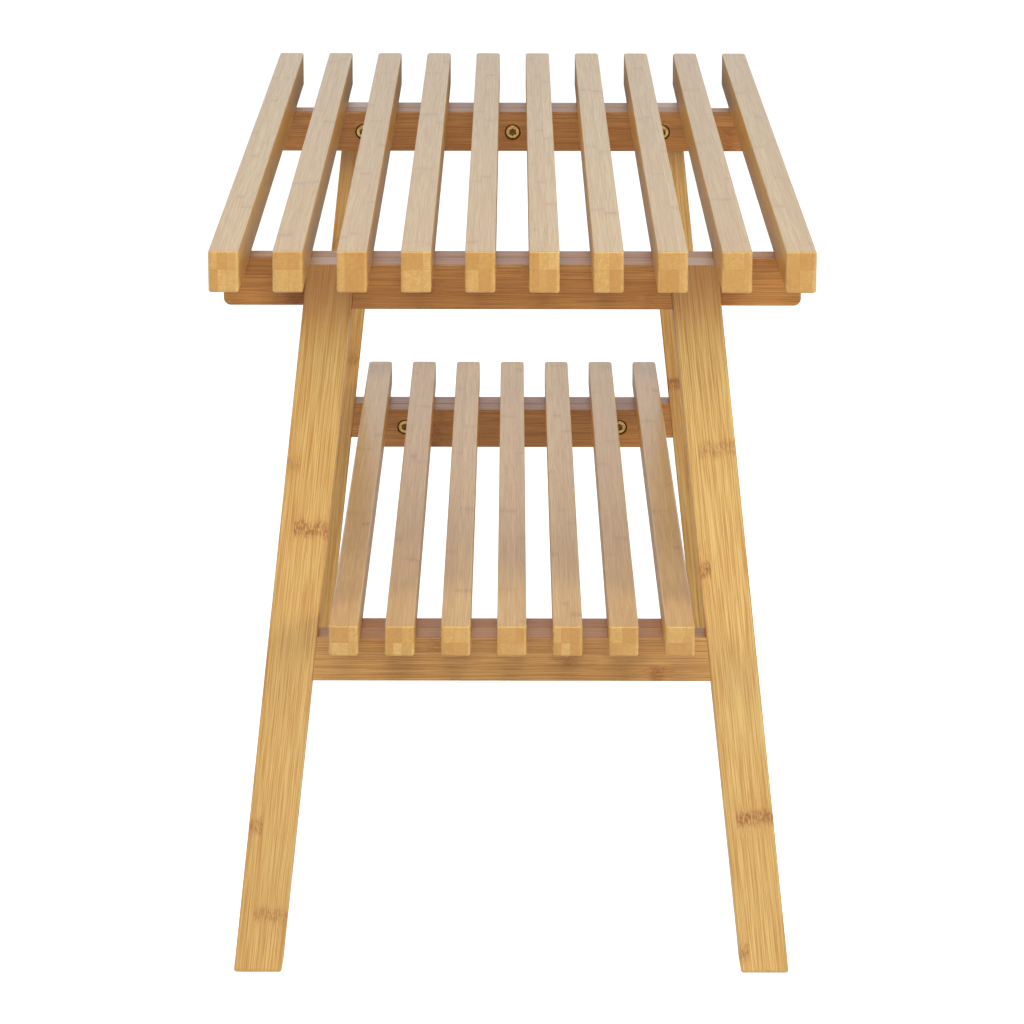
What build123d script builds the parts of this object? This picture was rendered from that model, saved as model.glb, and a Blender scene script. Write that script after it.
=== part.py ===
# Slatted entryway bench in laminated bamboo, with a lower shelf. Millimetres.
# X runs along the bench, Y across it (front is -Y, back is +Y), Z is up, and the
# origin is on the floor under the middle of the seat. Each end stands on a flat
# frame of two legs and two rails. The frames splay sideways and rake endways.
# Bearers are bolted to the inner faces of the frames, and the slats lie on top.
from build123d import *
import os
from math import cos, radians, sin, tan

os.makedirs("parts", exist_ok=True)

# ---- overall sizes ----
seat_length = 800.0
seat_width = 360.0
seat_height = 473.0
shelf_height = 234.5  # top of the shelf slats

# ---- slats ----
seat_slat_count = 10
seat_slat_width = 18.0
seat_slat_depth = 25.0
shelf_slat_count = 7
shelf_slat_width = 18.0
shelf_slat_depth = 19.0
seat_overhang = 85.5  # slat ends past the leg frames' outer faces
shelf_overhang = 40.0
shelf_side_clearance = 7.0  # outer shelf slats to the legs' inner edges
slat_round = 1.2
slat_corner_round = 2.5  # the upright edges at the slats' ends

# ---- leg frames ----
leg_width = 30.0
leg_thickness = 24.0
leg_top_spread = 251.0  # outer edge to outer edge, at the top cut
leg_splay = 6.33  # degrees, sideways
leg_rake = 4.35  # degrees, endways
leg_round = 1.2
foot_round = 2.0
rail_height = 27.5
rail_round = 1.0

# ---- bearers ----
bearer_height = 30.0
bearer_thickness = 21.0
seat_bearer_inset = 1.5  # bearer ends inside the seat's long sides
shelf_bearer_inset = 3.0
bearer_end_round = 4.5
bearer_round = 1.0

# ---- cap head bolts and threaded inserts ----
bolt_diameter = 6.0
bolt_length = 25.0
bolt_head_diameter = 10.0
bolt_head_height = 6.0
bolt_socket_across_flats = 5.0
bolt_socket_depth = 3.0
bolt_head_round = 0.6
counterbore_clearance = 2.0  # on the diameter, round the head
counterbore_recess = 0.5  # the head lies this far below the bearer's face
bolt_hole_clearance = 0.6  # on the diameter, through the bearer
seat_bolt_drop = 15.5  # the middle of the head below the bearer's top
shelf_bolt_drop = 14.0
shelf_bolt_offset = 13.4  # outwards from the middle of the last slat but one
insert_diameter = 9.5
insert_length = 12.0
insert_wall_clearance = 0.05  # thread to insert, on the radius

# ---- dowels in the leg joints ----
dowel_diameter = 6.0
dowel_wall = 2.25  # wood between a dowel's end and the insert beside it
dowel_in_rail = 16.0
dowel_spread = 13.0
dowel_clearance = 0.05  # on the radius
dowel_end_clearance = 0.3

# ---- slat screws, driven up through the bearers ----
screw_diameter = 4.0
screw_bite = 11.0  # into the slat
screw_head_diameter = 8.0
screw_drive_diameter = 3.0
screw_drive_depth = 1.5
screw_clearance = 0.1  # on the radius
screw_to_bolt = 6.0  # the least distance between a screw's axis and a bolt's
hole_end_clearance = 0.5  # past the end of a screw, bolt or insert

# ---- places worked out from the sizes ----
seat_bearing = seat_height - seat_slat_depth
shelf_bearing = shelf_height - shelf_slat_depth
seat_frame_x = seat_length / 2 - seat_overhang
splay_slope = tan(radians(leg_splay))
rake_slope = tan(radians(leg_rake))
leg_level_width = leg_width / cos(radians(leg_splay))
leg_level_thickness = leg_thickness / cos(radians(leg_rake))
bearer_level_thickness = bearer_thickness / cos(radians(leg_rake))
counterbore_diameter = bolt_head_diameter + counterbore_clearance
counterbore_depth = bolt_head_height + counterbore_recess
bolt_reach = bolt_length - bearer_thickness + counterbore_depth  # into the leg frame
insert_hole_depth = max(insert_length, bolt_reach) + hole_end_clearance
dowel_in_leg = leg_width / 2 - insert_diameter / 2 - dowel_wall
screw_length = bearer_height + screw_bite

ends = {"right": 1, "left": -1}
flanks = {"back": 1, "front": -1}


def frame_x(height):
    """Outer face of the right leg frame at a height."""
    return seat_frame_x + rake_slope * (seat_bearing - height)


def leg_outer(height):
    """Distance from the bench's centre line to a leg's outer edge at a height."""
    return leg_top_spread / 2 + splay_slope * (seat_bearing - height)


def leg_inner(height):
    return leg_outer(height) - leg_level_width


def leg_middle(height):
    return leg_outer(height) - leg_level_width / 2


def frame_plane(end, height, inward=0.0):
    """Plane on an end frame's outer face, moved inward, with its origin at a height.
    Its z axis points out of the bench, its y axis up the face."""
    rake = radians(leg_rake)
    face = Plane(
        origin=(end * frame_x(height), 0, height),
        x_dir=(0, end, 0),
        z_dir=(end * cos(rake), 0, rake_slope * cos(rake)),
    )
    return face.offset(-inward)


def dowel_plane(end, flank, rail_middle, rise, into_leg):
    """Plane across a dowel's axis, its z axis pointing into the leg. It stands
    into_leg past the joint, halfway through the frame's thickness."""
    face = frame_plane(end, rail_middle, leg_thickness / 2)
    joint_y = leg_inner(rail_middle + rise * cos(radians(leg_rake)))
    place = face.from_local_coords((flank * end * (joint_y + into_leg), rise, 0))
    return Plane(origin=place, x_dir=(end, 0, 0), z_dir=(0, flank, 0))


def up_face(rise):
    """Length up a raked face that climbs a given height."""
    return rise / cos(radians(leg_rake))


def spaced(count, first, last):
    """Evenly spaced places from first to last."""
    return [first + (last - first) * number / (count - 1) for number in range(count)]


shelf_width = 2 * (leg_inner(shelf_height) - shelf_side_clearance)
shelf_length = 2 * (frame_x(shelf_bearing) + shelf_overhang)
seat_slat_y = spaced(
    seat_slat_count, -(seat_width - seat_slat_width) / 2, (seat_width - seat_slat_width) / 2
)
shelf_slat_y = spaced(
    shelf_slat_count, -(shelf_width - shelf_slat_width) / 2, (shelf_width - shelf_slat_width) / 2
)


def bolt_height(bearing, head_drop):
    """Where a bolt's axis meets the frame's outer face. The axis stands square to the
    raked face, so it climbs from the head to the outer face."""
    climb = (leg_thickness + bearer_thickness) * sin(radians(leg_rake))
    return bearing - head_drop + climb


def screw_x(bearing):
    """Where a slat screw stands: the middle of the bearer at half its height."""
    outer = frame_x(bearing - bearer_height / 2)
    return outer - leg_level_thickness - bearer_level_thickness / 2


# The bolts of each level: height, and places across the bench.
seat_bolt_height = bolt_height(seat_bearing, seat_bolt_drop)
shelf_bolt_height = bolt_height(shelf_bearing, shelf_bolt_drop)
seat_leg_bolt_y = leg_middle(seat_bolt_height)
seat_bolt_y = [-seat_leg_bolt_y, 0.0, seat_leg_bolt_y]
shelf_bolt_y = [shelf_slat_y[1] - shelf_bolt_offset, shelf_slat_y[-2] + shelf_bolt_offset]
dowel_rises = [-dowel_spread / 2, dowel_spread / 2]
rail_middles = {
    "top_rail": seat_bearing - rail_height / 2,
    "shelf_rail": shelf_bearing - rail_height / 2,
}


def screw_places(slat_y, bolt_y):
    """Where the slat screws stand across the bench: in the middle of each slat, or
    just beside a bolt that would be in the way."""
    places = []
    for middle in slat_y:
        bolt = min(bolt_y, key=lambda place: abs(place - middle))
        side = 1 if middle >= bolt else -1
        beside = bolt + side * screw_to_bolt
        places.append(middle if abs(middle - bolt) >= screw_to_bolt else beside)
    return places


seat_screw_y = screw_places(seat_slat_y, seat_bolt_y)
shelf_screw_y = screw_places(shelf_slat_y, shelf_bolt_y)


# ---- seat slats: square-ended bars that run the whole length ----
def make_slat(length, width, depth, place_y, pilot_y, bearing):
    """A slat with eased edges and a blind pilot hole over each bearer."""
    with BuildPart() as slat:
        with BuildSketch(Plane.XY.offset(bearing)):
            with Locations((0, place_y)):
                Rectangle(length, width)
        extrude(amount=depth)
        fillet(slat.edges().filter_by(Axis.Z), radius=slat_corner_round)
        fillet(slat.faces().filter_by(Axis.Z).edges(), radius=slat_round)
        with BuildSketch(Plane.XY.offset(bearing)):
            with Locations((screw_x(bearing), pilot_y), (-screw_x(bearing), pilot_y)):
                Circle(screw_diameter / 2 + screw_clearance)
        extrude(amount=screw_bite + hole_end_clearance, mode=Mode.SUBTRACT)
    return slat


for number, (place_y, pilot_y) in enumerate(zip(seat_slat_y, seat_screw_y), start=1):
    seat_slat = make_slat(
        seat_length, seat_slat_width, seat_slat_depth, place_y, pilot_y, seat_bearing
    )
    seat_slat.part.label = f"seat_slat_{number:02d}"
    export_step(seat_slat.part, f"parts/seat_slat_{number:02d}.step")

# ---- shelf slats: shorter, square in section, lying between the legs ----
for number, (place_y, pilot_y) in enumerate(zip(shelf_slat_y, shelf_screw_y), start=1):
    shelf_slat = make_slat(
        shelf_length, shelf_slat_width, shelf_slat_depth, place_y, pilot_y, shelf_bearing
    )
    shelf_slat.part.label = f"shelf_slat_{number}"
    export_step(shelf_slat.part, f"parts/shelf_slat_{number}.step")

# ---- legs: splayed and raked bars, cut level at the top and at the foot ----
leg_spare = leg_width  # extra length at each end, cut away level
for end_name, end in ends.items():
    for flank_name, flank in flanks.items():
        with BuildPart() as leg:
            top = seat_bearing + leg_spare
            foot = -leg_spare
            with BuildSketch(frame_plane(end, seat_bearing)):
                side = flank * end
                with BuildLine():
                    Polyline(
                        (side * leg_outer(top), up_face(leg_spare)),
                        (side * leg_inner(top), up_face(leg_spare)),
                        (side * leg_inner(foot), -up_face(seat_bearing + leg_spare)),
                        (side * leg_outer(foot), -up_face(seat_bearing + leg_spare)),
                        close=True,
                    )
                make_face()
            extrude(amount=-leg_thickness)
            split(bisect_by=Plane.XY.offset(seat_bearing), keep=Keep.BOTTOM)
            split(bisect_by=Plane.XY, keep=Keep.TOP)
            fillet(leg.faces().sort_by(Axis.Z)[0].edges(), foot_round)
            fillet(leg.edges().filter_by(lambda edge: edge.length > seat_bearing / 2), leg_round)
            with BuildSketch(frame_plane(end, seat_bolt_height, leg_thickness)):
                with Locations((side * seat_leg_bolt_y, 0)):
                    Circle(insert_diameter / 2)
            extrude(amount=insert_hole_depth, mode=Mode.SUBTRACT)
            for rail_middle in rail_middles.values():
                for rise in dowel_rises:
                    with BuildSketch(dowel_plane(end, flank, rail_middle, rise, -dowel_diameter)):
                        Circle(dowel_diameter / 2 + dowel_clearance)
                    hole_depth = dowel_diameter + dowel_in_leg + dowel_end_clearance
                    extrude(amount=hole_depth, mode=Mode.SUBTRACT)
        leg.part.label = f"leg_{flank_name}_{end_name}"
        export_step(leg.part, f"parts/leg_{flank_name}_{end_name}.step")

# ---- rails: butted between the legs, in the same raked frame ----
rail_spare = rail_height  # extra height, cut away level
for end_name, end in ends.items():
    for rail_name, rail_middle in rail_middles.items():
        rail_top = rail_middle + rail_height / 2
        rail_bottom = rail_middle - rail_height / 2
        with BuildPart() as rail:
            with BuildSketch(frame_plane(end, rail_middle)):
                reach = rail_height / 2 + rail_spare
                upper = leg_inner(rail_middle + reach)
                lower = leg_inner(rail_middle - reach)
                with BuildLine():
                    Polyline(
                        (-upper, up_face(reach)),
                        (upper, up_face(reach)),
                        (lower, -up_face(reach)),
                        (-lower, -up_face(reach)),
                        close=True,
                    )
                make_face()
            extrude(amount=-leg_thickness)
            split(bisect_by=Plane.XY.offset(rail_top), keep=Keep.BOTTOM)
            split(bisect_by=Plane.XY.offset(rail_bottom), keep=Keep.TOP)
            fillet(rail.edges().filter_by(Axis.Y), radius=rail_round)
            bolt_y = {"top_rail": [0.0], "shelf_rail": shelf_bolt_y}[rail_name]
            insert_height = {"top_rail": seat_bolt_height, "shelf_rail": shelf_bolt_height}
            with BuildSketch(frame_plane(end, insert_height[rail_name], leg_thickness)):
                with Locations(*[(place_y, 0) for place_y in bolt_y]):
                    Circle(insert_diameter / 2)
            extrude(amount=insert_hole_depth, mode=Mode.SUBTRACT)
            for flank in flanks.values():
                for rise in dowel_rises:
                    with BuildSketch(dowel_plane(end, flank, rail_middle, rise, dowel_diameter)):
                        Circle(dowel_diameter / 2 + dowel_clearance)
                    hole_depth = dowel_diameter + dowel_in_rail + dowel_end_clearance
                    extrude(amount=-hole_depth, mode=Mode.SUBTRACT)
        rail.part.label = f"{rail_name}_{end_name}"
        export_step(rail.part, f"parts/{rail_name}_{end_name}.step")


# ---- bearers: battens bolted across the inner faces of the leg frames ----
def make_bearer(end, bearing, half_length, axis_height, bolt_y, screw_y):
    """A bearer with rounded lower corners, counterbored for its bolts and
    countersunk underneath for the slat screws."""
    bottom = bearing - bearer_height
    middle = bearing - bearer_height / 2
    with BuildPart() as bearer:
        with BuildSketch(frame_plane(end, middle, leg_thickness)):
            Rectangle(2 * half_length, 2 * bearer_height)
        extrude(amount=-bearer_thickness)
        split(bisect_by=Plane.XY.offset(bearing), keep=Keep.BOTTOM)
        split(bisect_by=Plane.XY.offset(bottom), keep=Keep.TOP)
        fillet(bearer.edges().filter_by(Axis.X).group_by(Axis.Z)[0], radius=bearer_end_round)
        fillet(bearer.edges().filter_by(Axis.Y), radius=bearer_round)
        with Locations(-frame_plane(end, axis_height, leg_thickness + bearer_thickness)):
            with Locations(*[(place_y, 0) for place_y in bolt_y]):
                CounterBoreHole(
                    radius=(bolt_diameter + bolt_hole_clearance) / 2,
                    counter_bore_radius=counterbore_diameter / 2,
                    counter_bore_depth=counterbore_depth,
                )
        with Locations(-Plane((end * screw_x(bearing), 0, bottom))):
            with Locations(*[(0, place_y) for place_y in screw_y]):
                CounterSinkHole(
                    radius=screw_diameter / 2 + screw_clearance,
                    counter_sink_radius=screw_head_diameter / 2 + screw_clearance,
                )
    return bearer


for end_name, end in ends.items():
    seat_bearer = make_bearer(
        end, seat_bearing, seat_width / 2 - seat_bearer_inset,
        seat_bolt_height, seat_bolt_y, seat_screw_y,
    )
    seat_bearer.part.label = f"seat_bearer_{end_name}"
    export_step(seat_bearer.part, f"parts/seat_bearer_{end_name}.step")

    shelf_bearer = make_bearer(
        end, shelf_bearing, shelf_width / 2 - shelf_bearer_inset,
        shelf_bolt_height, shelf_bolt_y, shelf_screw_y,
    )
    shelf_bearer.part.label = f"shelf_bearer_{end_name}"
    export_step(shelf_bearer.part, f"parts/shelf_bearer_{end_name}.step")


# ---- cap head bolts: from the bearers' inner faces into the leg frames ----
def bolt_seats(height, places_y):
    """Planes on the floors of the counterbores, z axis pointing into the bench."""
    floor_depth = leg_thickness + bearer_thickness - counterbore_depth
    seats = []
    for end in ends.values():
        face = -frame_plane(end, height, floor_depth)
        for place_y in places_y:
            place = face.from_local_coords((place_y, 0, 0))
            seats.append(Plane(origin=place, x_dir=(0, 1, 0), z_dir=face.z_dir))
    return seats


for name, height, places_y in (
    ("seat_bearer_bolts", seat_bolt_height, seat_bolt_y),
    ("shelf_bearer_bolts", shelf_bolt_height, shelf_bolt_y),
):
    with BuildPart() as bolts:
        head_radius = bolt_head_diameter / 2
        shank_radius = bolt_diameter / 2
        rim_start = (head_radius, bolt_head_height - bolt_head_round)
        rim_end = (head_radius - bolt_head_round, bolt_head_height)
        for seat in bolt_seats(height, places_y):
            section = Plane(
                origin=seat.origin, x_dir=seat.x_dir, z_dir=seat.x_dir.cross(seat.z_dir)
            )
            with BuildSketch(section):
                with BuildLine():
                    Polyline(
                        rim_end,
                        (0, bolt_head_height),
                        (0, -bolt_length),
                        (shank_radius - bolt_head_round, -bolt_length),
                        (shank_radius, -bolt_length + bolt_head_round),
                        (shank_radius, 0),
                        (head_radius, 0),
                        rim_start,
                    )
                    RadiusArc(rim_start, rim_end, -bolt_head_round)
                make_face()
            revolve(axis=Axis(seat.origin, seat.z_dir))
            with BuildSketch(seat.offset(bolt_head_height)):
                RegularPolygon(bolt_socket_across_flats / 2, 6, major_radius=False)
            extrude(amount=-bolt_socket_depth, mode=Mode.SUBTRACT)
    bolts.part.label = name
    export_step(bolts.part, f"parts/{name}.step")

# ---- threaded inserts: sleeves let into the leg frames behind the bearers ----
insert_bore = bolt_diameter / 2 + insert_wall_clearance
with BuildPart() as inserts:
    for end in ends.values():
        for height, places_y in (
            (seat_bolt_height, seat_bolt_y),
            (shelf_bolt_height, shelf_bolt_y),
        ):
            with BuildSketch(frame_plane(end, height, leg_thickness)):
                with Locations(*[(place_y, 0) for place_y in places_y]):
                    Circle(insert_diameter / 2)
                    Circle(insert_bore, mode=Mode.SUBTRACT)
            extrude(amount=insert_length)
inserts.part.label = "threaded_inserts"
export_step(inserts.part, "parts/threaded_inserts.step")

# ---- dowels: two across each joint between a rail and a leg ----
with BuildPart() as dowels:
    for end in ends.values():
        for rail_middle in rail_middles.values():
            for flank in flanks.values():
                for rise in dowel_rises:
                    with BuildSketch(dowel_plane(end, flank, rail_middle, rise, -dowel_in_rail)):
                        Circle(dowel_diameter / 2)
                    extrude(amount=dowel_in_rail + dowel_in_leg)
dowels.part.label = "leg_joint_dowels"
export_step(dowels.part, "parts/leg_joint_dowels.step")


# ---- slat screws: countersunk, standing upright through the bearers ----
def make_screws(bearing, screw_y):
    """One countersunk screw under each slat at both ends of the bench."""
    head_bottom = bearing - bearer_height
    head_radius = screw_head_diameter / 2
    shank_radius = screw_diameter / 2
    with BuildPart() as screws:
        for end in ends.values():
            for place_y in screw_y:
                foot = Vector(end * screw_x(bearing), place_y, head_bottom)
                with BuildSketch(Plane(origin=foot, x_dir=(1, 0, 0), z_dir=(0, -1, 0))):
                    with BuildLine():
                        Polyline(
                            (0, screw_drive_depth),
                            (screw_drive_diameter / 2, 0),
                            (head_radius, 0),
                            (shank_radius, head_radius - shank_radius),
                            (shank_radius, screw_length - shank_radius),
                            (0, screw_length),
                            close=True,
                        )
                    make_face()
                revolve(axis=Axis(foot, (0, 0, 1)))
    return screws


seat_screws = make_screws(seat_bearing, seat_screw_y)
seat_screws.part.label = "seat_slat_screws"
export_step(seat_screws.part, "parts/seat_slat_screws.step")

shelf_screws = make_screws(shelf_bearing, shelf_screw_y)
shelf_screws.part.label = "shelf_slat_screws"
export_step(shelf_screws.part, "parts/shelf_slat_screws.step")
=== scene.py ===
import math
import bmesh
import bpy
import numpy
from mathutils import Matrix, Vector


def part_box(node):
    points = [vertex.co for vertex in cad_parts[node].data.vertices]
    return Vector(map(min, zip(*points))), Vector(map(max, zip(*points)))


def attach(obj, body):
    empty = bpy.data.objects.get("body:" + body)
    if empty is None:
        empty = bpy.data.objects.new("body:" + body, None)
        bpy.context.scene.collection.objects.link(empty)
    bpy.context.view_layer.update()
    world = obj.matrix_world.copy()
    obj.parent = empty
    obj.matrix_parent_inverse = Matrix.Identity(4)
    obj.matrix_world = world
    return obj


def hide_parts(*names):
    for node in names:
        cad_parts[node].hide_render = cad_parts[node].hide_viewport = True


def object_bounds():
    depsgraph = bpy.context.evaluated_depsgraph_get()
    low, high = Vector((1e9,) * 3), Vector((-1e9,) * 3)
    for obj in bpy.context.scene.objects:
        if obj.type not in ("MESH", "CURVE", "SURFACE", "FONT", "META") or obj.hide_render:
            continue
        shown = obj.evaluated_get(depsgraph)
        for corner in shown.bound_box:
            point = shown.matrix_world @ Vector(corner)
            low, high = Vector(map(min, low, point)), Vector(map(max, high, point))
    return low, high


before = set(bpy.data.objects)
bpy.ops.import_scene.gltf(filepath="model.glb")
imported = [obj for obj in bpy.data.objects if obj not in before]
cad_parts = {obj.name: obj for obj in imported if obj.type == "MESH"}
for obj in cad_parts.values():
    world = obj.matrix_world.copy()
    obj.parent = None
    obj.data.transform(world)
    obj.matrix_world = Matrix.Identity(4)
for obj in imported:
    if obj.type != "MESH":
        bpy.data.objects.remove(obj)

mm = 0.001
cad_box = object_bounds()

# ==== Legs ====
# The real legs are bars of laminated bamboo, splayed sideways and raked endways, cut
# level at top and foot. Each is glued up from strips of split cane, so its face shows
# fine fibres, and the cane's joints cross one strip at a time. Satin lacquer over all.


def wire(tree, value, socket):
    """Feeds a socket from another node's output, or sets its own value."""
    if isinstance(value, bpy.types.NodeSocket):
        tree.links.new(value, socket)
    elif value is not None:
        socket.default_value = value


def maths(tree, operation, *values):
    node = tree.nodes.new("ShaderNodeMath")
    node.operation = operation
    for value, socket in zip(values, node.inputs):
        wire(tree, value, socket)
    return node.outputs[0]


def point(tree, x, y, z):
    node = tree.nodes.new("ShaderNodeCombineXYZ")
    for value, socket in zip((x, y, z), node.inputs):
        wire(tree, value, socket)
    return node.outputs["Vector"]


def blend_colours(tree, share, first, second):
    node = tree.nodes.new("ShaderNodeMix")
    node.data_type = "RGBA"
    factor, low, high = node.inputs[0], node.inputs[6], node.inputs[7]
    wire(tree, share, factor)
    wire(tree, first, low)
    wire(tree, second, high)
    return node.outputs[2]


def ramp(tree, value, low, high, to_low=0.0, to_high=1.0):
    """Smooth step: to_low below low, to_high above high."""
    node = tree.nodes.new("ShaderNodeMapRange")
    node.interpolation_type = "SMOOTHSTEP"
    for number, socket in zip((value, low, high, to_low, to_high), node.inputs):
        wire(tree, number, socket)
    return node.outputs["Result"]


def noise(tree, place, scale, detail=2.0, roughness=0.5, distortion=0.0):
    node = tree.nodes.new("ShaderNodeTexNoise")
    wire(tree, place, node.inputs["Vector"])
    node.inputs["Scale"].default_value = scale
    node.inputs["Detail"].default_value = detail
    node.inputs["Roughness"].default_value = roughness
    node.inputs["Distortion"].default_value = distortion
    return node.outputs["Fac"]


def chances(tree, x, y, z):
    """Three random numbers, from 0 to 1, that are the same wherever x, y and z are."""
    node = tree.nodes.new("ShaderNodeTexWhiteNoise")
    wire(tree, point(tree, x, y, z), node.inputs["Vector"])
    split = tree.nodes.new("ShaderNodeSeparateColor")
    wire(tree, node.outputs["Color"], split.inputs["Color"])
    return split.outputs[0], split.outputs[1], split.outputs[2]


def strip_number(tree, place, seams):
    """Counts the glue seams, in mm from the bar's middle, that lie below a place."""
    number = 0.0
    for seam in seams:
        number = maths(tree, "ADD", number, maths(tree, "GREATER_THAN", place, seam))
    return number


def near_seam(tree, place, seams, width):
    """1 on a glue seam, falling to 0 at half a width from it."""
    line = 0.0
    for seam in seams:
        gap = maths(tree, "ABSOLUTE", maths(tree, "SUBTRACT", place, seam))
        line = maths(tree, "MAXIMUM", line, ramp(tree, gap, 0.0, width / 2, 1.0, 0.0))
    return line


def between(pale, amber_and_shade, share):
    """A cane colour on the way from pale to amber."""
    return tuple(low + (high - low) * share for low, high in zip(pale, amber_and_shade)) + (1,)


def laminated_bamboo(
    name, middle, turn, across, through, seed,
    length, joints=None, joint_strength=1.0, amber_and_shade=0.0, streaks=0.75, painted_top_shade=0.0,
):
    """Lacquered laminated bamboo whose grain runs along the turned X axis from middle.
    across and through list its glue seams, and joints the first place and the spacing
    of the cane joints on the lower and the upper strip, all in mm. amber is how far its
    colour is moved from the pale cane colours to darker, redder ones, partly its own tone
    and partly painted shade and bounced light under the seat. streaks is how strongly its
    fibres show, and browned is how much browner its last 60 mm are made, which is painted
    shade under the seat. Each is from 0 to 1."""
    usual_joint_spacing = 236.0
    joint_scatter = 90.0
    seam_width = 0.55
    painted_shade_length = 52
    material = bpy.data.materials.new(name)
    material.use_nodes = True
    tree = material.node_tree
    shader = tree.nodes["Principled BSDF"]
    where = tree.nodes.new("ShaderNodeTexCoord")
    mapping = tree.nodes.new("ShaderNodeMapping")
    mapping.vector_type = "TEXTURE"
    mapping.inputs["Location"].default_value = middle
    mapping.inputs["Rotation"].default_value = turn
    mapping.inputs["Scale"].default_value = (mm, mm, mm)
    tree.links.new(where.outputs["Object"], mapping.inputs["Vector"])
    axes = tree.nodes.new("ShaderNodeSeparateXYZ")
    tree.links.new(mapping.outputs["Vector"], axes.inputs["Vector"])
    along, side, depth = axes.outputs

    # Which strip of cane this is, with its own tone, fibres and joints.
    row = strip_number(tree, side, across)
    layer = strip_number(tree, depth, through)
    tone, offset_chance, speck_chance = chances(tree, row, layer, seed)
    offset = maths(tree, "MULTIPLY", offset_chance, 400.0)
    if joints is None:
        spacing = usual_joint_spacing
        start = maths(tree, "MULTIPLY", tone, spacing)
    else:
        (low_start, low_spacing), (high_start, high_spacing) = joints
        start = maths(tree, "MULTIPLY_ADD", row, high_start - low_start, low_start)
        spacing = maths(tree, "MULTIPLY_ADD", row, high_spacing - low_spacing, low_spacing)
    turns = maths(tree, "DIVIDE", maths(tree, "SUBTRACT", along, start), spacing)
    number = maths(tree, "FLOOR", maths(tree, "ADD", turns, 0.5))
    shift, strength, _ = chances(tree, number, offset, seed + 0.5)
    if joints:
        jitter = 0.0
    else:
        jitter = maths(tree, "MULTIPLY_ADD", shift, joint_scatter, -joint_scatter / 2)
    past = maths(tree, "MULTIPLY", maths(tree, "SUBTRACT", turns, number), spacing)
    wobble = noise(tree, point(tree, number, maths(tree, "MULTIPLY", side, 0.16), depth), 1.0, 2.0)
    ragged = maths(tree, "MULTIPLY_ADD", wobble, 9.0, -4.5)
    past = maths(tree, "ADD", maths(tree, "SUBTRACT", past, jitter), ragged)
    off_joint = maths(tree, "ABSOLUTE", past)
    from_end = maths(tree, "SUBTRACT", length / 2, maths(tree, "ABSOLUTE", along))
    clear_of_ends = ramp(tree, from_end, 6.0, 16.0)
    weight = maths(tree, "MULTIPLY", clear_of_ends, ramp(tree, strength, 0.0, 1.0, 0.45, 1.0))
    weight = maths(tree, "MULTIPLY", weight, joint_strength)
    swelling = maths(tree, "MULTIPLY", weight, ramp(tree, off_joint, 3.0, 24.0, 1.0, 0.0))
    band = maths(tree, "MULTIPLY", weight, ramp(tree, off_joint, 1.5, 7.5, 1.0, 0.0))

    # Fibres: long streaks on the faces, specks on the cut ends.
    swirl_place = point(tree, maths(tree, "MULTIPLY_ADD", along, 0.12, offset), side, depth)
    swirl = maths(tree, "SUBTRACT", noise(tree, swirl_place, 0.6), 0.5)
    drift = maths(tree, "MULTIPLY_ADD", swelling, 2.2, 0.25)
    bent_side = maths(tree, "MULTIPLY_ADD", swirl, drift, side)
    fibre_place = point(tree, maths(tree, "MULTIPLY_ADD", along, 0.010, offset), bent_side, depth)
    broad = noise(tree, fibre_place, 0.32, 2.0, 0.55)
    fine = noise(tree, fibre_place, 1.9, 3.0, 0.62)
    bundles = tree.nodes.new("ShaderNodeTexVoronoi")
    bundles.inputs["Scale"].default_value = 1.5
    wire(tree, fibre_place, bundles.inputs["Vector"])
    specks = ramp(tree, bundles.outputs["Distance"], 0.08, 0.40, 1.0, 0.0)
    speck_weight = ramp(tree, speck_chance, 0.2, 0.9, 0.12, 0.50)

    # Colour.
    # The shift to the darker, redder colours is partly the cane's own tone and partly painted shade and
    # bounced light.
    light_cane = between((0.93, 0.640, 0.220), (0.70, 0.345, 0.094), amber_and_shade)
    dark_cane = between((0.72, 0.420, 0.108), (0.54, 0.224, 0.044), amber_and_shade)
    fibre_brown = between((0.58, 0.250, 0.044), (0.36, 0.125, 0.020), amber_and_shade)
    joint_brown = (0.36, 0.110, 0.014, 1)
    cloudy = maths(tree, "MULTIPLY", ramp(tree, broad, 0.35, 0.65), 0.38)
    body = maths(tree, "MULTIPLY_ADD", tone, 0.62, cloudy)
    colour = blend_colours(tree, body, light_cane, dark_cane)
    colour = blend_colours(tree, ramp(tree, fine, 0.44, 0.60, 0.0, streaks), colour, fibre_brown)
    colour = blend_colours(tree, maths(tree, "MULTIPLY", specks, speck_weight), colour, fibre_brown)
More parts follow.
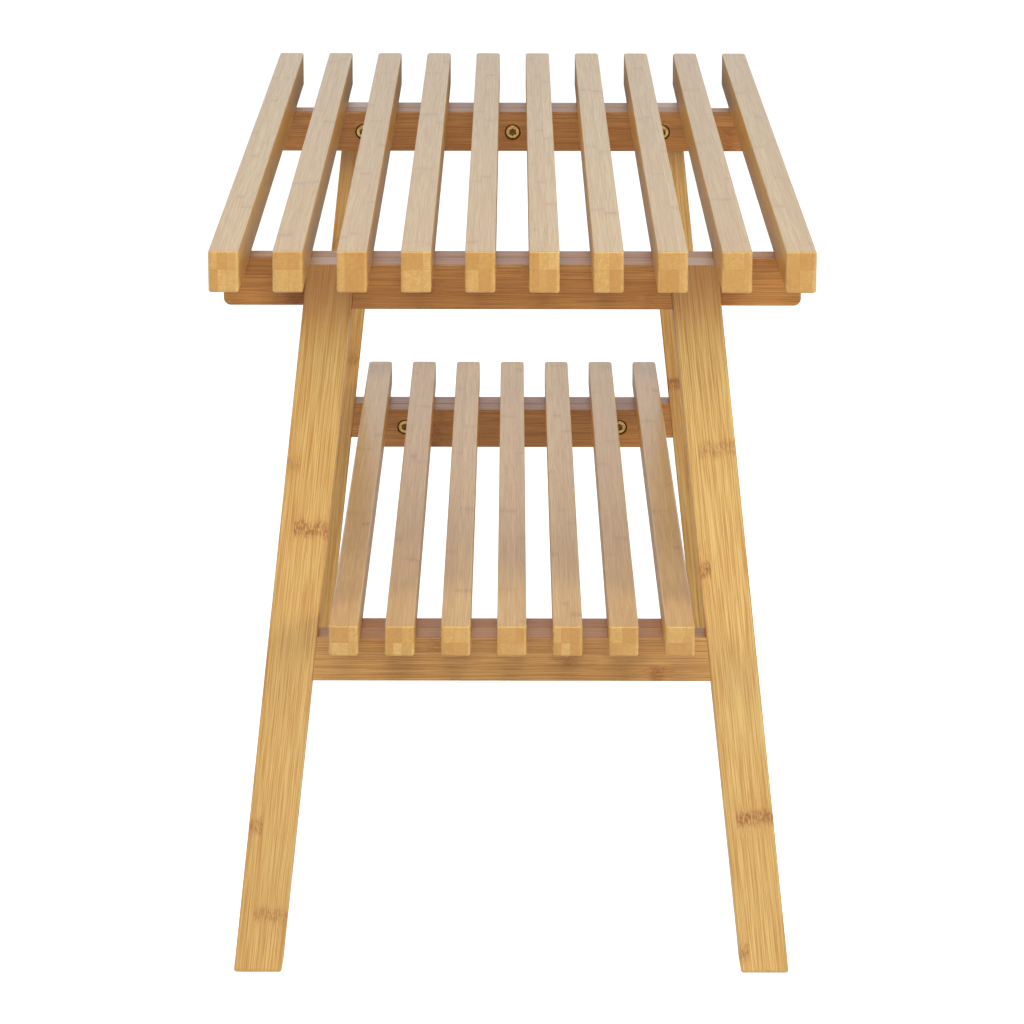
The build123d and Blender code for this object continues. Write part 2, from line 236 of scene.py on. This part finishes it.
    # Painted shade: the last 60 mm below the top are made browner, as if shaded by the seat.
    if painted_top_shade:
        painted_shade_end = length / 2 - 16
        painted_shade_mask = ramp(tree, along, painted_shade_end - painted_shade_length, painted_shade_end, 0.0, painted_top_shade)
        colour = blend_colours(tree, painted_shade_mask, colour, (0.42, 0.14, 0.02, 1))
    cut_end = ramp(tree, from_end, 0.1, 0.5, 1.0, 0.0)
    end_tone = ramp(tree, speck_chance, 0.1, 0.9, 0.10, 0.62)
    colour = blend_colours(tree, maths(tree, "MULTIPLY", cut_end, end_tone), colour, fibre_brown)
    end_specks = maths(tree, "MULTIPLY", cut_end, maths(tree, "MULTIPLY", specks, 0.8))
    colour = blend_colours(tree, end_specks, colour, fibre_brown)
    seam = maths(
        tree, "MAXIMUM",
        near_seam(tree, side, across, seam_width), near_seam(tree, depth, through, seam_width),
    )
    colour = blend_colours(tree, maths(tree, "MULTIPLY", seam, 0.6), colour, fibre_brown)
    colour = blend_colours(tree, maths(tree, "MULTIPLY", swelling, 0.22), colour, fibre_brown)
    mottle_place = point(tree, maths(tree, "MULTIPLY", along, 0.30), side, depth)
    mottle = noise(tree, mottle_place, 0.9, 4.0, 0.72, 0.8)
    patches = maths(tree, "MULTIPLY", band, ramp(tree, mottle, 0.42, 0.56, 0.12, 0.95))
    colour = blend_colours(tree, patches, colour, joint_brown)
    wire(tree, colour, shader.inputs["Base Color"])

    # Satin lacquer over wood that is a little open along its fibres.
    wire(tree, ramp(tree, fine, 0.3, 0.8, 0.36, 0.50), shader.inputs["Roughness"])
    # Painted shade: the darker, redder parts get a thinner coat, for less gloss where the slats shade
    # them.
    shader.inputs["Coat Weight"].default_value = 0.9 - 0.5 * amber_and_shade
    shader.inputs["Coat Roughness"].default_value = 0.28
    bump = tree.nodes.new("ShaderNodeBump")
    bump.inputs["Strength"].default_value = 0.25
    bump.inputs["Distance"].default_value = 0.00012
    relief = maths(tree, "SUBTRACT", fine, maths(tree, "MULTIPLY", specks, 0.35))
    relief = maths(tree, "ADD", relief, maths(tree, "MULTIPLY", swelling, 0.8))
    wire(tree, relief, bump.inputs["Height"])
    wire(tree, bump.outputs["Normal"], shader.inputs["Normal"])
    return material


def dress(node, material):
    """Gives a CAD node its finished material."""
    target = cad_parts[node]
    target.data.materials.clear()
    target.data.materials.append(material)


def box_of(node):
    """A CAD node's middle, in metres, and its size, in mm."""
    low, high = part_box(node)
    return (Vector(low) + Vector(high)) / 2, (Vector(high) - Vector(low)) / mm


def leg_turn(end, flank, size):
    """Turns X up the leg and Z square out of the leg frame's outer face. The leg is 30 by
    24 mm across, and a little more where it is cut level."""
    level_width = 30.2
    level_thickness = 24.1
    run_x = size.x - level_thickness
    run_y = size.y - level_width
    up = Vector((-end * run_x, -flank * run_y, size.z)).normalized()
    out = Vector((end * size.z, 0, run_x)).normalized()
    side = out.cross(up).normalized()
    return Matrix((up, side, up.cross(side))).transposed().to_euler()


# Each leg: its end and side, its glue seam, and its cane joints on the strip below the
# seam and on the one above, as a first place and a spacing up the leg.
legs = {
    "leg_front_right": (1, -1, 6.5, ((60, 249), (99, 232))),
    "leg_back_right": (1, 1, 8.0, ((110, 236), (35, 247))),
    "leg_front_left": (-1, -1, -4.0, ((118, 240), (30, 232))),
    "leg_back_left": (-1, 1, 4.0, ((10, 244), (90, 238))),
}
past_the_cuts = 1.04
for seed, (node, (end, flank, seam, joints)) in enumerate(legs.items()):
    middle, size = box_of(node)
    # The leg tops get painted shade, a browner colour where the seat would shade them.
    bamboo = laminated_bamboo(
        node + "_bamboo", middle, leg_turn(end, flank, size), (seam,), (3.0,), seed,
        past_the_cuts * size.z, joints, streaks=0.85, painted_top_shade=0.6,
    )
    dress(node, bamboo)

# ==== Rails ====
# The real rails are bars of the same laminated bamboo, butted and dowelled between the
# legs of each end frame, flush with the legs' faces, and lacquered with them.
grain_across = (0, 0, math.radians(90))
# How far each rail goes to the darker, redder colours: partly its own tone, partly painted shade and
# bounced light under the slats. The right shelf rail, more in the light, gets less.
rails = {
    "top_rail_right": 1.0,
    "top_rail_left": 1.0,
    "shelf_rail_right": 0.6,
    "shelf_rail_left": 1.0,
}
for seed, (node, amber_and_shade) in enumerate(rails.items(), start=20):
    middle, size = box_of(node)
    bamboo = laminated_bamboo(
        node + "_bamboo", middle, grain_across, (2.0,), (-4.0, 5.0), seed, size.y, amber_and_shade=amber_and_shade
    )
    dress(node, bamboo)

# ==== Bearers ====
# The real bearers are battens of the same bamboo, bolted flat against the inner faces of
# the leg frames. They carry the slats, which are screwed to them from below.
bearers = ("seat_bearer_right", "seat_bearer_left", "shelf_bearer_right", "shelf_bearer_left")
# Each bearer goes fully to the darker, redder colours: partly its own tone, partly painted shade under
# the slats.
for seed, node in enumerate(bearers, start=40):
    middle, size = box_of(node)
    bamboo = laminated_bamboo(
        node + "_bamboo", middle, grain_across, (-3.0,), (4.0,), seed, size.y, amber_and_shade=1.0
    )
    dress(node, bamboo)

# ==== Seat slats ====
# The real seat slats are 18 by 25 mm bars glued up from two layers of cane strips, sawn
# square at the ends, with eased edges. They lie on the bearers and the leg frames.
seat_seams = ((-3.5, 2.0), (0.5,), (-4.0, 3.5), (4.0,), (-1.0, 6.0))
for number in range(10):
    node = f"seat_slat_{number + 1:02d}"
    middle, size = box_of(node)
    bamboo = laminated_bamboo(
        node + "_bamboo", middle, (0, 0, 0), seat_seams[number % len(seat_seams)], (1.5,),
        60 + number, size.x, joint_strength=0.5, streaks=0.5,
    )
    dress(node, bamboo)

# ==== Shelf slats ====
# The real shelf slats are almost square bars of the same make, shorter than the seat's.
shelf_seams = ((3.0,), (-4.0, 1.5), (-1.0,))
for number in range(7):
    node = f"shelf_slat_{number + 1}"
    middle, size = box_of(node)
    bamboo = laminated_bamboo(
        node + "_bamboo", middle, (0, 0, 0), shelf_seams[number % len(shelf_seams)], (-1.0,),
        80 + number, size.x, joint_strength=0.5, streaks=0.5,
    )
    dress(node, bamboo)

# ==== Cap bolts ====
# The real bolts are M6 socket cap screws in yellow zinc plate, sunk into the bearers'
# inner faces. The head has a rounded rim and a hexagon socket with a drilled bottom.


def fasteners_in(node, facing):
    """The head end and the axis of each solid in a CAD node, and its length and radius.
    facing gives, for a solid's middle, roughly where its head points."""
    solids = bmesh.new()
    solids.from_mesh(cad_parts[node].data)
    bmesh.ops.remove_doubles(solids, verts=solids.verts, dist=0.001 * mm)
    heads = []
    waiting = set(solids.verts)
    for seed_vertex in list(solids.verts):
        if seed_vertex not in waiting:
            continue
        waiting.discard(seed_vertex)
        island = [seed_vertex]
        for vertex in island:
            for edge in vertex.link_edges:
                other = edge.other_vert(vertex)
                if other in waiting:
                    waiting.discard(other)
                    island.append(other)
        places = numpy.array([vertex.co for vertex in island])
        centre = places.mean(axis=0)
        axis = numpy.linalg.svd(places - centre)[2][0]
        if axis @ numpy.array(facing(centre)) < 0:
            axis = -axis
        reach = (places - centre) @ axis
        spread = places - centre - numpy.outer(reach, axis)
        radius = numpy.linalg.norm(spread, axis=1).max()
        heads.append((Vector(centre + axis * reach.max()), Vector(axis)))
        length = reach.max() - reach.min()
    solids.free()
    return heads, float(length), float(radius)


def start_tree(name, sizes):
    """A Geometry Nodes tree with an input for the places and one for each size."""
    tree = bpy.data.node_groups.new(name, "GeometryNodeTree")
    tree.interface.new_socket("Places", in_out="INPUT", socket_type="NodeSocketGeometry")
    for size in sizes:
        tree.interface.new_socket(size, in_out="INPUT", socket_type="NodeSocketFloat")
    tree.interface.new_socket("Fasteners", in_out="OUTPUT", socket_type="NodeSocketGeometry")
    return tree, tree.nodes.new("NodeGroupInput").outputs


def build(tree, kind, settings=None, **values):
    """Adds a node. settings are its options, and values feed its inputs by name."""
    node = tree.nodes.new(kind)
    for option, choice in (settings or {}).items():
        setattr(node, option, choice)
    for name, value in values.items():
        wire(tree, value, node.inputs[name.replace("_", " ")])
    return node


def pick(tree, number, values):
    """The value in a list that a number, from 0 up, stands for."""
    node = build(tree, "GeometryNodeIndexSwitch", {"data_type": "FLOAT"})
    for _ in values[2:]:
        node.index_switch_items.new()
    for value, socket in zip([number] + list(values), node.inputs):
        wire(tree, value, socket)
    return node.outputs[0]


def turned(tree, profile, segments, flute=0.0):
    """A closed body turned on Z. profile lists (radius, height) from its top to its
    foot, and flute is how much of the radius each second segment loses."""
    columns = segments + 1
    grid = build(tree, "GeometryNodeMeshGrid", None, Vertices_X=len(profile), Vertices_Y=columns)
    index = build(tree, "GeometryNodeInputIndex").outputs[0]
    row = maths(tree, "FLOOR", maths(tree, "DIVIDE", maths(tree, "ADD", index, 0.5), columns))
    column = maths(tree, "SUBTRACT", index, maths(tree, "MULTIPLY", row, columns))
    angle = maths(tree, "MULTIPLY", column, math.tau / segments)
    radius = pick(tree, row, [radius for radius, height in profile])
    if flute:
        odd = maths(tree, "MODULO", column, 2.0)
        radius = maths(tree, "MULTIPLY", radius, maths(tree, "MULTIPLY_ADD", odd, -flute, 1.0))
    place = point(
        tree,
        maths(tree, "MULTIPLY", radius, maths(tree, "COSINE", angle)),
        maths(tree, "MULTIPLY", radius, maths(tree, "SINE", angle)),
        pick(tree, row, [height for radius, height in profile]),
    )
    moved = build(tree, "GeometryNodeSetPosition", None, Geometry=grid.outputs["Mesh"], Position=place)
    merged = build(
        tree, "GeometryNodeMergeByDistance", None,
        Geometry=moved.outputs["Geometry"], Distance=0.002 * mm,
    )
    return merged.outputs["Geometry"]


def cut_away(tree, body, *cutters):
    node = build(tree, "GeometryNodeMeshBoolean", {"operation": "DIFFERENCE", "solver": "EXACT"})
    wire(tree, body, node.inputs["Mesh 1"])
    for cutter in cutters:
        tree.links.new(cutter, node.inputs["Mesh 2"])
    return node.outputs["Mesh"]


def thread(tree, radius, top, foot, pitch):
    """A ridge of three-sided section wound down from top to foot."""
    drop = maths(tree, "SUBTRACT", top, foot)
    helix = build(
        tree, "GeometryNodeCurveSpiral", None, Resolution=14,
        Rotations=maths(tree, "DIVIDE", drop, pitch), Height=drop,
        Start_Radius=radius, End_Radius=radius,
    )
    ridge_radius = maths(tree, "MULTIPLY", pitch, 0.45)
    ridge = build(
        tree, "GeometryNodeCurvePrimitiveCircle", None, Resolution=3, Radius=ridge_radius
    )
    swept = build(
        tree, "GeometryNodeCurveToMesh", None, Curve=helix.outputs["Curve"],
        Profile_Curve=ridge.outputs["Curve"], Fill_Caps=True,
    )
    lowered = build(
        tree, "GeometryNodeTransform", None,
        Geometry=swept.outputs["Mesh"], Translation=point(tree, 0.0, 0.0, foot),
    )
    return lowered.outputs["Geometry"]


def join(tree, *parts):
    node = build(tree, "GeometryNodeJoinGeometry")
    for part in parts:
        tree.links.new(part, node.inputs["Geometry"])
    return node.outputs["Geometry"]


def end_tree(tree, fastener, places, material, kept=None):
    """Sets a fastener at each place, its Z along the place's axis, and finishes it.
    Faces that already have the kept material keep it."""
    axis = build(tree, "GeometryNodeInputNamedAttribute", {"data_type": "FLOAT_VECTOR"}, Name="axis")
    turn = build(
        tree, "FunctionNodeAlignRotationToVector", {"axis": "Z"}, Vector=axis.outputs["Attribute"]
    )
    placed = build(
        tree, "GeometryNodeInstanceOnPoints", None,
        Points=places, Instance=fastener, Rotation=turn.outputs["Rotation"],
    )
    real = build(tree, "GeometryNodeRealizeInstances", None, Geometry=placed.outputs["Instances"])
    rounded = build(
        tree, "GeometryNodeSetShadeSmooth", {"domain": "FACE"}, Geometry=real.outputs["Geometry"]
    )
    sharpest_smooth_bend = 0.6
    bend = build(tree, "GeometryNodeInputMeshEdgeAngle").outputs["Unsigned Angle"]
    crisp = build(
        tree, "GeometryNodeSetShadeSmooth", {"domain": "EDGE"},
        Geometry=rounded.outputs["Geometry"],
        Shade_Smooth=maths(tree, "LESS_THAN", bend, sharpest_smooth_bend),
    )
    finished = build(
        tree, "GeometryNodeSetMaterial", None,
        Geometry=crisp.outputs["Geometry"], Material=material,
    )
    if kept:
        own = build(tree, "GeometryNodeMaterialSelection", None, Material=kept).outputs["Selection"]
        wire(tree, maths(tree, "LESS_THAN", own, 0.5), finished.inputs["Selection"])
    tree.links.new(finished.outputs["Geometry"], tree.nodes.new("NodeGroupOutput").inputs[0])


def fit_fasteners(name, node, tree, heads, sizes):
    """Runs a tree on the places of a CAD node's solids and lets the result stand for it."""
    places = bpy.data.meshes.new(name + "_places")
    places.from_pydata([head for head, axis in heads], [], [])
    axes = places.attributes.new("axis", "FLOAT_VECTOR", "POINT")
    for item, (head, axis) in zip(axes.data, heads):
        item.vector = axis
    holder = bpy.data.objects.new(name + "_places", places)
    bpy.context.collection.objects.link(holder)
    modifier = holder.modifiers.new("fasteners", "NODES")
    modifier.node_group = tree
    for socket in tree.interface.items_tree:
        if socket.in_out == "INPUT" and socket.name in sizes:
            modifier[socket.identifier] = sizes[socket.name]
    solid = holder.evaluated_get(bpy.context.evaluated_depsgraph_get())
    piece = bpy.data.objects.new(name, bpy.data.meshes.new_from_object(solid))
    bpy.context.collection.objects.link(piece)
    bpy.data.objects.remove(holder)
    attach(piece, "root")
    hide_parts(node)


def plated_metal(name, light, dark, roughness, grain):
    """Plated metal with cloudy tone, tumbling marks and a slightly uneven surface."""
    material = bpy.data.materials.new(name)
    material.use_nodes = True
    tree = material.node_tree
    shader = tree.nodes["Principled BSDF"]
    where = tree.nodes.new("ShaderNodeTexCoord").outputs["Object"]
    clouds = noise(tree, where, 260.0, 3.0, 0.6)
    marks = noise(tree, where, grain, 4.0, 0.7, 0.6)
    tone = blend_colours(tree, ramp(tree, clouds, 0.35, 0.7), light, dark)
    wire(tree, tone, shader.inputs["Base Color"])
    uneven = ramp(tree, marks, 0.3, 0.7, roughness - 0.08, roughness + 0.12)
    wire(tree, uneven, shader.inputs["Roughness"])
    shader.inputs["Metallic"].default_value = 1.0
    bump = tree.nodes.new("ShaderNodeBump")
    bump.inputs["Strength"].default_value = 0.25
    bump.inputs["Distance"].default_value = 0.00005
    wire(tree, marks, bump.inputs["Height"])
    wire(tree, bump.outputs["Normal"], shader.inputs["Normal"])
    return material


def towards_middle(centre):
    """The level direction from a bolt or an insert to the middle of the bench."""
    return (-centre[0], 0, 0)


yellow_zinc = plated_metal("yellow_zinc", (0.86, 0.62, 0.24, 1), (0.66, 0.43, 0.13, 1), 0.34, 1900.0)
# Painted shade: the socket's walls and floor get a dark brown metal, as if the recess were in shade.
painted_socket_shade = plated_metal("painted_socket_shade", (0.34, 0.20, 0.07, 1), (0.16, 0.09, 0.03, 1), 0.42, 1900.0)
bolt_tree, bolt = start_tree(
    "cap_bolt",
    ("Head radius", "Head height", "Rim round", "Shank radius", "Length", "Socket radius",
     "Socket depth", "Thread pitch"),
)
rim = []
for degrees in (0, 30, 60, 90):
    inwards = math.sin(math.radians(degrees)) - 1
    downwards = math.cos(math.radians(degrees)) - 1
    reach = maths(bolt_tree, "MULTIPLY_ADD", bolt["Rim round"], inwards, bolt["Head radius"])
    drop = maths(bolt_tree, "MULTIPLY", bolt["Rim round"], downwards)
    rim.append((reach, drop))
under_head = maths(bolt_tree, "MULTIPLY", bolt["Head height"], -1.0)
core = maths(bolt_tree, "MULTIPLY", bolt["Shank radius"], 0.88)
bolt_foot = maths(bolt_tree, "MULTIPLY", bolt["Length"], -1.0)
point_start = maths(bolt_tree, "ADD", bolt_foot, 0.8 * mm)
bolt_body = turned(
    bolt_tree,
    [(0.0, 0.0)] + rim + [
        (bolt["Head radius"], under_head), (core, under_head), (core, point_start),
        (maths(bolt_tree, "MULTIPLY", core, 0.75), bolt_foot), (0.0, bolt_foot),
    ],
    40,
)
socket_floor = maths(bolt_tree, "MULTIPLY", bolt["Socket depth"], -1.0)
drill_depth = maths(bolt_tree, "MULTIPLY", bolt["Socket radius"], 0.45)
drill_point = maths(bolt_tree, "SUBTRACT", socket_floor, drill_depth)
hexagon = turned(
    bolt_tree,
    [
        (0.0, 1.0 * mm), (bolt["Socket radius"], 1.0 * mm),
        (bolt["Socket radius"], socket_floor), (0.0, drill_point),
    ],
    6,
)
# The hexagon cutter carries the dark metal onto the socket's faces, as painted shade in the recess.
socket = build(
    bolt_tree, "GeometryNodeSetMaterial", None, Geometry=hexagon, Material=painted_socket_shade
).outputs["Geometry"]
thread_start = maths(bolt_tree, "SUBTRACT", under_head, 9.0 * mm)
bolt_thread = thread(bolt_tree, core, thread_start, point_start, bolt["Thread pitch"])
finished_bolt = join(bolt_tree, cut_away(bolt_tree, bolt_body, socket), bolt_thread)
end_tree(bolt_tree, finished_bolt, bolt["Places"], yellow_zinc, kept=painted_socket_shade)
socket_corner = 2.5 * mm / math.cos(math.radians(30))
bolt_groups = (
    ("seat_cap_bolts", "seat_bearer_bolts"),
    ("shelf_cap_bolts", "shelf_bearer_bolts"),
)
for name, node in bolt_groups:
    heads, length, radius = fasteners_in(node, towards_middle)
    sizes = {
        "Head radius": radius, "Head height": 6.0 * mm, "Rim round": 0.6 * mm,
        "Shank radius": 3.0 * mm, "Length": length, "Socket radius": socket_corner,
        "Socket depth": 3.0 * mm, "Thread pitch": 1.0 * mm,
    }
    fit_fasteners(name, node, bolt_tree, heads, sizes)

# ==== Threaded inserts ====
# The real inserts are zinc-plated steel sleeves with a coarse outer thread, screwed into
# the legs and rails from their inner faces before the bearers are bolted on.
plain_zinc = plated_metal("plain_zinc", (0.70, 0.70, 0.68, 1), (0.46, 0.47, 0.48, 1), 0.38, 1500.0)
insert_tree, insert = start_tree(
    "threaded_insert", ("Outer radius", "Bore radius", "Length", "Thread pitch")
)
sleeve = maths(insert_tree, "MULTIPLY", insert["Outer radius"], 0.90)
lead_in = maths(insert_tree, "SUBTRACT", sleeve, 0.4 * mm)
insert_foot = maths(insert_tree, "MULTIPLY", insert["Length"], -1.0)
sleeve_body = turned(
    insert_tree,
    [
        (insert["Bore radius"], 0.0), (lead_in, 0.0), (sleeve, -0.4 * mm),
        (sleeve, maths(insert_tree, "ADD", insert_foot, 0.4 * mm)), (lead_in, insert_foot),
        (insert["Bore radius"], insert_foot), (insert["Bore radius"], 0.0),
    ],
    32,
)
thread_foot = maths(insert_tree, "ADD", insert_foot, 1.0 * mm)
insert_thread = thread(insert_tree, sleeve, -1.0 * mm, thread_foot, insert["Thread pitch"])
end_tree(insert_tree, join(insert_tree, sleeve_body, insert_thread), insert["Places"], plain_zinc)
heads, length, radius = fasteners_in("threaded_inserts", towards_middle)
sizes = {"Outer radius": radius, "Bore radius": 3.05 * mm, "Length": length, "Thread pitch": 1.0 * mm}
fit_fasteners("insert_sleeves", "threaded_inserts", insert_tree, heads, sizes)

# ==== Slat screws ====
# The real slat screws are countersunk wood screws in pale zinc plate with a cross
# recess, driven up through the bearers, so their heads lie flush underneath.
pale_zinc = plated_metal("pale_zinc", (0.74, 0.70, 0.58, 1), (0.52, 0.49, 0.40, 1), 0.36, 1700.0)
screw_tree, screw = start_tree(
    "countersunk_screw",
    ("Head radius", "Shank radius", "Length", "Slot width", "Slot length", "Slot depth", "Thread pitch"),
)
screw_core = maths(screw_tree, "MULTIPLY", screw["Shank radius"], 0.72)
head_depth = maths(screw_tree, "SUBTRACT", screw["Shank radius"], screw["Head radius"])
screw_tip = maths(screw_tree, "MULTIPLY", screw["Length"], -1.0)
taper_start = maths(screw_tree, "ADD", screw_tip, 5.0 * mm)
screw_body = turned(
    screw_tree,
    [
        (0.0, 0.0), (maths(screw_tree, "SUBTRACT", screw["Head radius"], 0.1 * mm), 0.0),
        (screw["Head radius"], -0.15 * mm), (screw["Shank radius"], head_depth),
        (screw["Shank radius"], maths(screw_tree, "SUBTRACT", head_depth, 10.0 * mm)),
        (screw_core, maths(screw_tree, "SUBTRACT", head_depth, 10.5 * mm)),
        (screw_core, taper_start), (0.0, screw_tip),
    ],
    24,
)
slots = []
slot_height = maths(screw_tree, "MULTIPLY", screw["Slot depth"], 2.0)
for across, down in (("Slot length", "Slot width"), ("Slot width", "Slot length")):
    size = point(screw_tree, screw[across], screw[down], slot_height)
    slots.append(build(screw_tree, "GeometryNodeMeshCube", None, Size=size).outputs["Mesh"])
thread_start = maths(screw_tree, "SUBTRACT", head_depth, 11.0 * mm)
screw_thread = thread(screw_tree, screw_core, thread_start, taper_start, screw["Thread pitch"])
finished_screw = join(screw_tree, cut_away(screw_tree, screw_body, *slots), screw_thread)
end_tree(screw_tree, finished_screw, screw["Places"], pale_zinc)
screw_groups = (
    ("seat_wood_screws", "seat_slat_screws"),
    ("shelf_wood_screws", "shelf_slat_screws"),
)
for name, node in screw_groups:
    heads, length, radius = fasteners_in(node, lambda centre: (0, 0, -1))
    sizes = {
        "Head radius": radius, "Shank radius": 2.0 * mm, "Length": length, "Slot width": 0.9 * mm,
        "Slot length": 4.2 * mm, "Slot depth": 1.6 * mm, "Thread pitch": 1.6 * mm,
    }
    fit_fasteners(name, node, screw_tree, heads, sizes)

# ==== Dowels ====
# The real dowels are short fluted beech pins with chamfered ends, glued across the
# butt joints between the rails and the legs.
beech = bpy.data.materials.new("beech")
beech.use_nodes = True
grain = beech.node_tree
beech_shader = grain.nodes["Principled BSDF"]
stretch = grain.nodes.new("ShaderNodeMapping")
stretch.inputs["Scale"].default_value = (1500.0, 90.0, 1500.0)
wire(grain, grain.nodes.new("ShaderNodeTexCoord").outputs["Object"], stretch.inputs["Vector"])
flecks = noise(grain, stretch.outputs["Vector"], 1.0, 3.0, 0.6)
beech_colour = blend_colours(
    grain, ramp(grain, flecks, 0.4, 0.7), (0.66, 0.46, 0.27, 1), (0.44, 0.26, 0.13, 1)
)
wire(grain, beech_colour, beech_shader.inputs["Base Color"])
wire(grain, ramp(grain, flecks, 0.3, 0.7, 0.6, 0.75), beech_shader.inputs["Roughness"])
beech_bump = grain.nodes.new("ShaderNodeBump")
beech_bump.inputs["Strength"].default_value = 0.3
beech_bump.inputs["Distance"].default_value = 0.0001
wire(grain, flecks, beech_bump.inputs["Height"])
wire(grain, beech_bump.outputs["Normal"], beech_shader.inputs["Normal"])
dowel_tree, dowel = start_tree("fluted_dowel", ("Radius", "Length", "Chamfer"))
slim = maths(dowel_tree, "SUBTRACT", dowel["Radius"], dowel["Chamfer"])
dowel_foot = maths(dowel_tree, "MULTIPLY", dowel["Length"], -1.0)
chamfer_foot = maths(dowel_tree, "MULTIPLY", dowel["Chamfer"], -1.0)
dowel_body = turned(
    dowel_tree,
    [
        (0.0, 0.0), (slim, 0.0), (dowel["Radius"], chamfer_foot),
        (dowel["Radius"], maths(dowel_tree, "ADD", dowel_foot, dowel["Chamfer"])),
        (slim, dowel_foot), (0.0, dowel_foot),
    ],
    48, flute=0.05,
)
end_tree(dowel_tree, dowel_body, dowel["Places"], beech)
heads, length, radius = fasteners_in("leg_joint_dowels", lambda centre: (0, centre[1], 0))
fit_fasteners(
    "fluted_dowels", "leg_joint_dowels", dowel_tree, heads,
    {"Radius": radius, "Length": length, "Chamfer": 0.8 * mm},
)

# ==== Studio ====
# A plain white floor that glows only to the lens, a white surround that shows in gloss
# but casts no soft light, four soft lights ahead of the right end and two weak ones to
# the rear, and a long lens that looks slightly down along the bench.
bpy.ops.mesh.primitive_plane_add(size=24.0)
floor = bpy.context.object
floor.name = "floor"
floor_paint = bpy.data.materials.new("floor_paint")
floor_paint.use_nodes = True
floor_shader = floor_paint.node_tree.nodes["Principled BSDF"]
floor_shader.inputs["Base Color"].default_value = (0.9, 0.9, 0.9, 1)
floor_shader.inputs["Roughness"].default_value = 0.9
floor_shader.inputs["Emission Color"].default_value = (1, 1, 1, 1)
seen = floor_paint.node_tree.nodes.new("ShaderNodeLightPath").outputs["Is Camera Ray"]
wire(floor_paint.node_tree, seen, floor_shader.inputs["Emission Strength"])
floor.data.materials.append(floor_paint)

world = bpy.data.worlds.new("studio_surround")
world.use_nodes = True
world.node_tree.nodes["Background"].inputs["Color"].default_value = (1, 1, 1, 1)
world.node_tree.nodes["Background"].inputs["Strength"].default_value = 0.80
bpy.context.scene.world = world
world.cycles_visibility.diffuse = False


def softbox(name, azimuth, elevation, distance, size, power):
    """A square soft light, its direction in degrees from +X. One ahead of the right end
    faces that end, and one to the rear faces the middle."""
    turn = math.radians(azimuth)
    rise = math.radians(elevation)
    ahead = abs(azimuth) < 90
    aim = Vector((cad_box[1].x if ahead else 0, 0, cad_box[1].z / 2))
    away = Vector((math.cos(rise) * math.cos(turn), math.cos(rise) * math.sin(turn), math.sin(rise)))
    lamp = bpy.data.lights.new(name, "AREA")
    lamp.shape = "SQUARE"
    lamp.size = size
    lamp.energy = power
    holder = bpy.data.objects.new(name, lamp)
    holder.location = aim + away * distance
    holder.rotation_euler = away.to_track_quat("Z", "Y").to_euler()
    bpy.context.collection.objects.link(holder)
    return holder


softbox("high_softbox", 0, 55, 2.8, 1.4, 24)
softbox("front_softbox", -60, 35, 3.0, 1.4, 31)
softbox("back_softbox", 60, 35, 3.0, 1.4, 23)
low_softbox = softbox("low_softbox", 45, 14, 3.2, 1.0, 28)
low_softbox.visible_glossy = False
softbox("rear_front_softbox", -115, 16, 3.0, 1.4, 10)
softbox("rear_back_softbox", 115, 16, 3.0, 1.4, 10)

camera = bpy.data.objects.new("camera", bpy.data.cameras.new("camera"))
bpy.context.collection.objects.link(camera)
camera.data.sensor_width = 36.0
camera.data.lens = 147.45
ahead_of_the_end = 2.4347
camera_height = 0.9493
camera.location = (cad_box[1].x + ahead_of_the_end, 0.0, camera_height)
pitch = 0.25521
roll = 0.00165
aimed = Matrix.Rotation(math.radians(90), 3, "Z") @ Matrix.Rotation(math.radians(90) - pitch, 3, "X")
camera.rotation_euler = (aimed @ Matrix.Rotation(roll, 3, "Z")).to_euler()
camera.data.clip_end = 60.0
bpy.context.scene.camera = camera
bpy.context.scene.view_settings.view_transform = "Standard"
